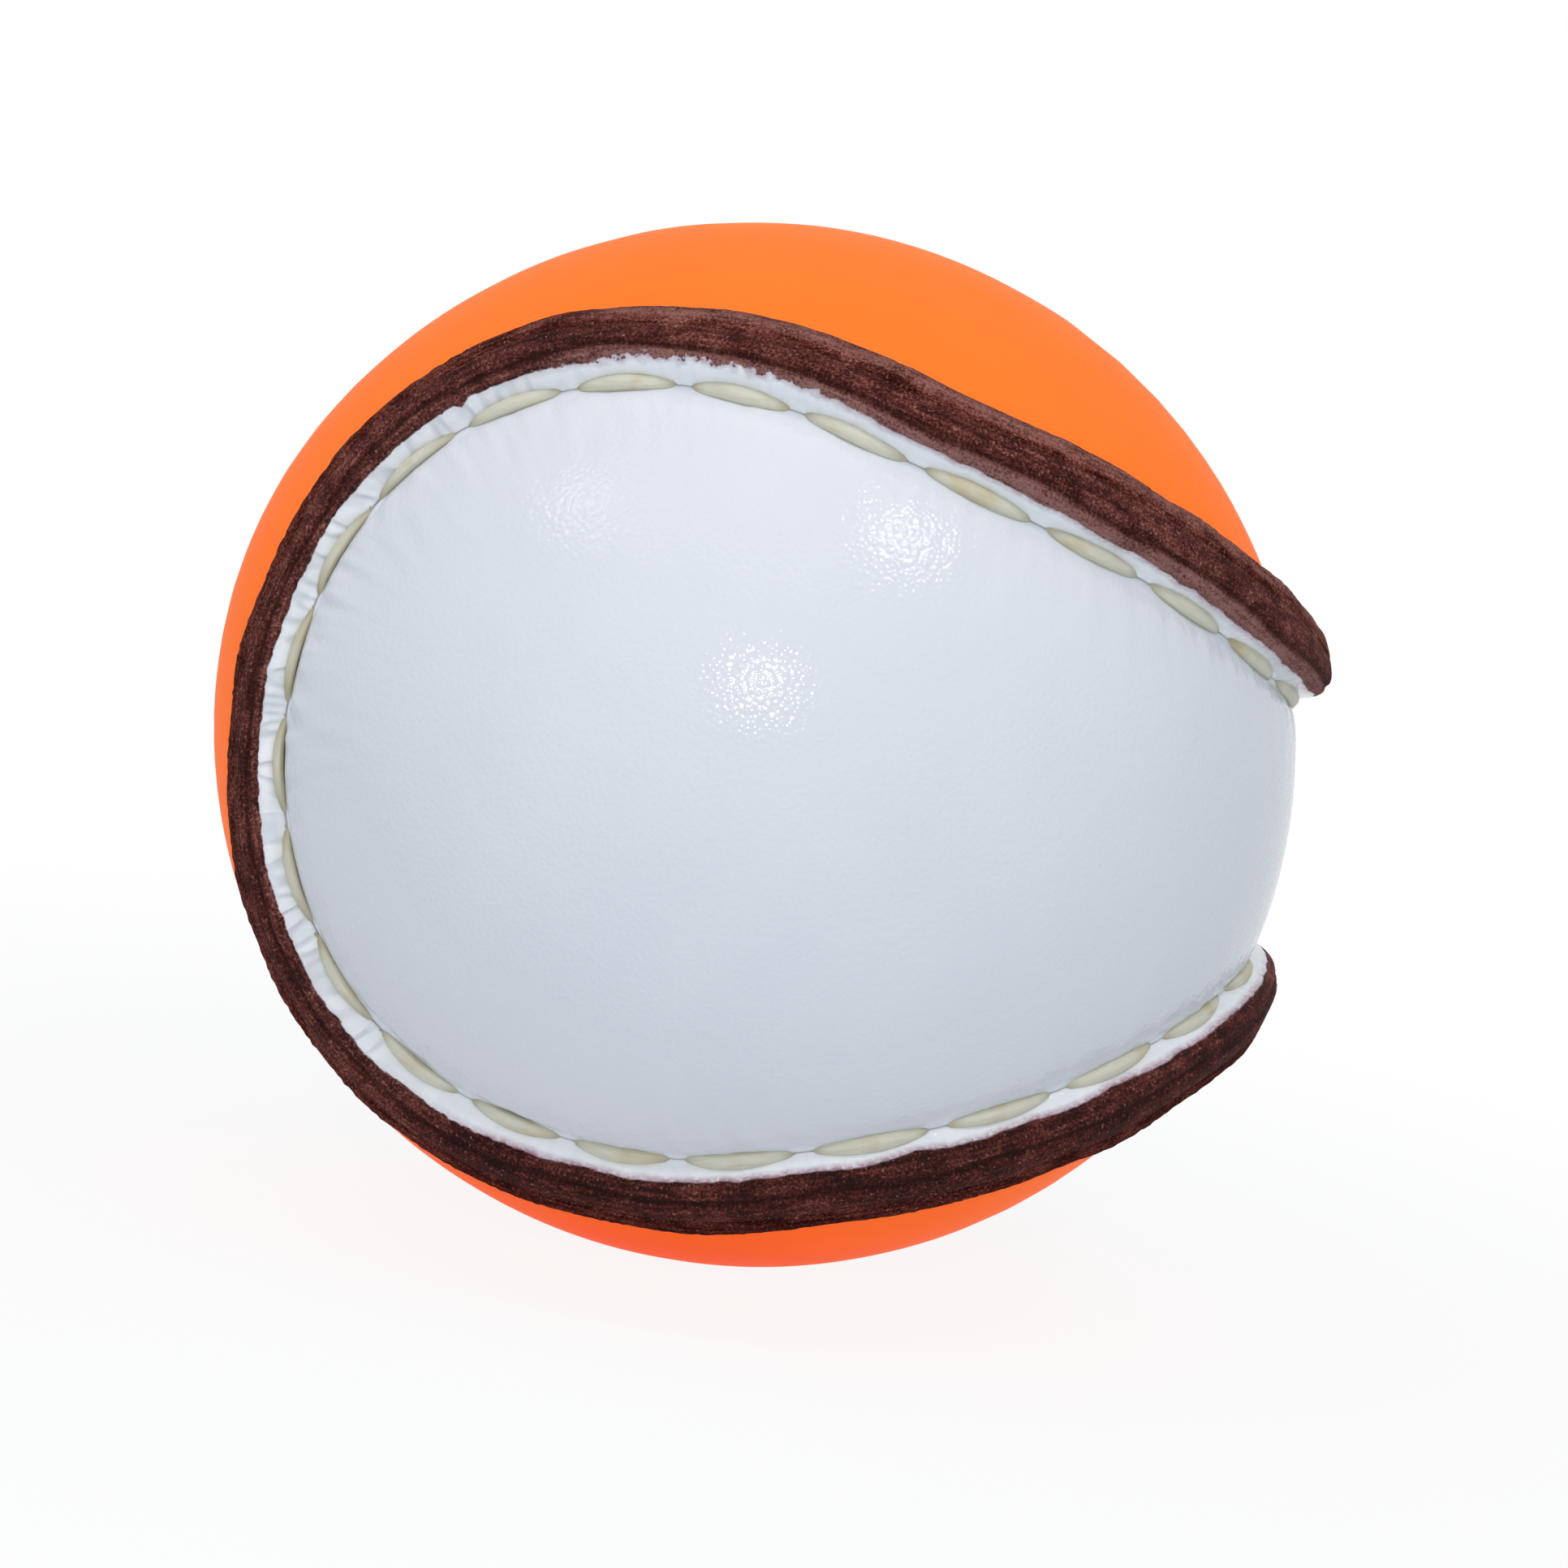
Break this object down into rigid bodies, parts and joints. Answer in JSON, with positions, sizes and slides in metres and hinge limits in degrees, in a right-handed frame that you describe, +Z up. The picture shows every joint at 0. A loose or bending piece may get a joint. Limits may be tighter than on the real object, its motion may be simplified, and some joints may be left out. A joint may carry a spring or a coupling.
{
  "type": "sliotar",
  "caption": "Hurling ball: a cork and yarn core in interlocking white and orange leather panels, hand-sewn edge to edge along a raised, brown-dyed ridge.",
  "frame": {"origin": "centre of the ball", "axes": "+X out through the middle of the white waist, +Y into a white lobe, +Z up into an orange lobe"},
  "size_m": [0.0716, 0.071, 0.071],
  "materials": {
    "cork": "ground cork",
    "coarse_yarn": "wound wool yarn",
    "fine_yarn": "wound fine yarn",
    "white_leather": "coated, fine pebble grain, brown-dyed cut edge",
    "orange_leather": "coated, smooth, brown-dyed cut edge",
    "waxed_thread": "waxed, hand sewn"
  },
  "bodies": {
    "root": {"cork_core": "cork", "inner_winding": "coarse_yarn", "outer_winding": "fine_yarn", "white_panel": "white_leather", "orange_panel": "orange_leather", "first_thread": "waxed_thread", "second_thread": "waxed_thread"}
  },
  "joints": []
}
